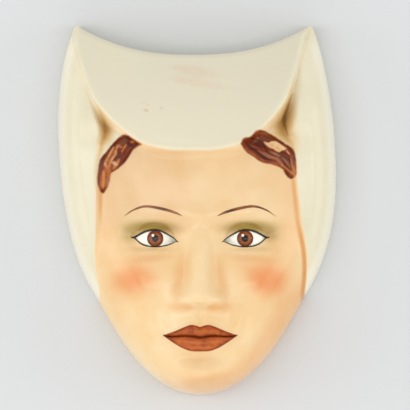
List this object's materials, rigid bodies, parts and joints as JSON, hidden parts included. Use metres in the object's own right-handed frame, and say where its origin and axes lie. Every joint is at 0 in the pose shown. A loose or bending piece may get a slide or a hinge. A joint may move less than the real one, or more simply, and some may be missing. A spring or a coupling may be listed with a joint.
{
  "type": "ceramic wall mask",
  "caption": "Hollow glazed wall mask of a woman's face in a pale hood with a turned-up brim, painted under the glaze.",
  "frame": {"origin": "middle of the plane of the back rim", "axes": "+X across the face to the viewer's right, +Y from the chin to the crown, +Z out of the wall"},
  "size_m": [0.1818, 0.24, 0.0789],
  "materials": {
    "glazed_earthenware": "painted slip-cast earthenware under a clear gloss glaze"
  },
  "bodies": {
    "root": {"mask": "glazed_earthenware"}
  },
  "joints": []
}
